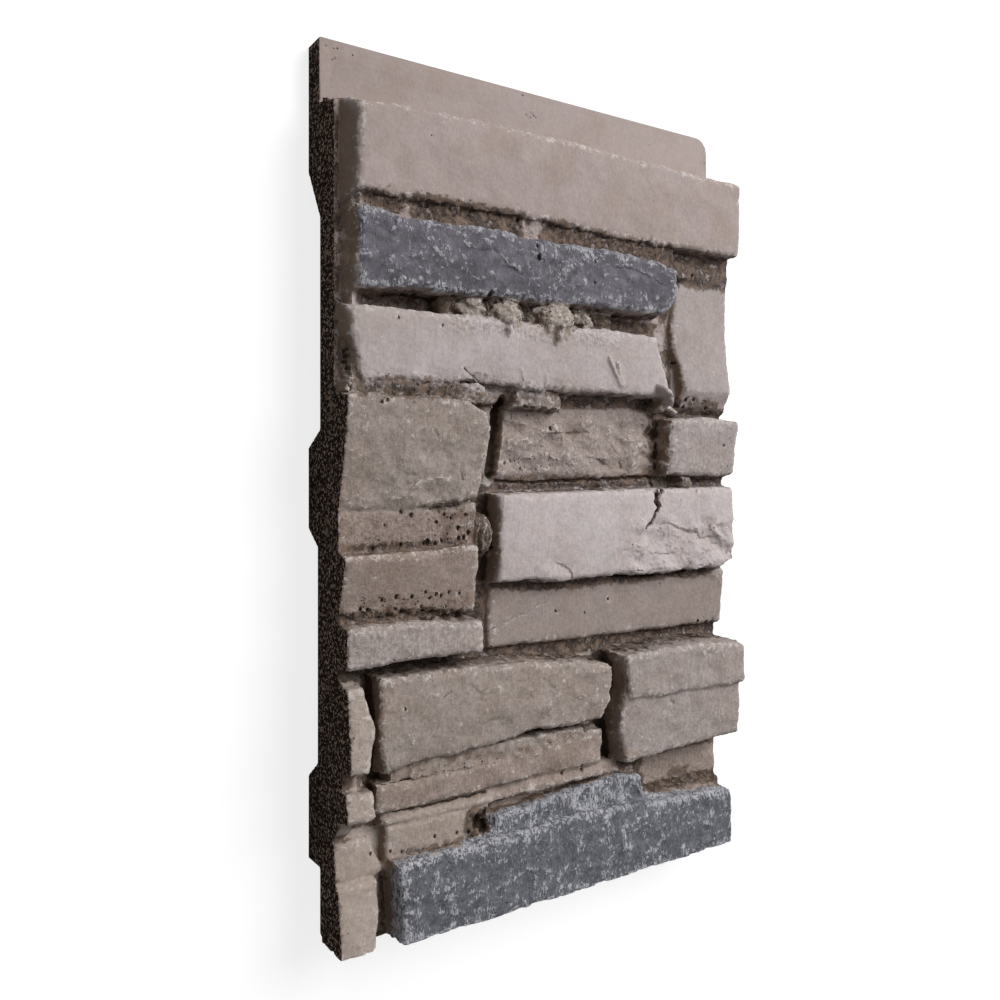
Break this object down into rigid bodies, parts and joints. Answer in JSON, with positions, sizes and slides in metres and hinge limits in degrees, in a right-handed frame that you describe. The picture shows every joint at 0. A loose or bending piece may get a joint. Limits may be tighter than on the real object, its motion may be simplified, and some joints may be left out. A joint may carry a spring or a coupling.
{
  "type": "faux stone wall panel",
  "caption": "Lightweight cast wall panel with stacked-stone relief, a screw tongue along its top and a lap along its foot; one end is sawn.",
  "frame": {"origin": "centre of the bounding box's bottom face, on the plane of the three back ribs", "axes": "+X along the courses from the sawn end to the moulded end, +Y up the wall from the lap to the tongue, +Z out of the wall through the stones"},
  "size_m": [0.235, 0.394, 0.0453],
  "materials": {
    "cast_stone": "painted rigid foam casting: mauve-grey stones with brown washed joints, two blue-grey slate stones, dark sawn end"
  },
  "bodies": {
    "root": {"panel": "cast_stone"}
  },
  "joints": []
}
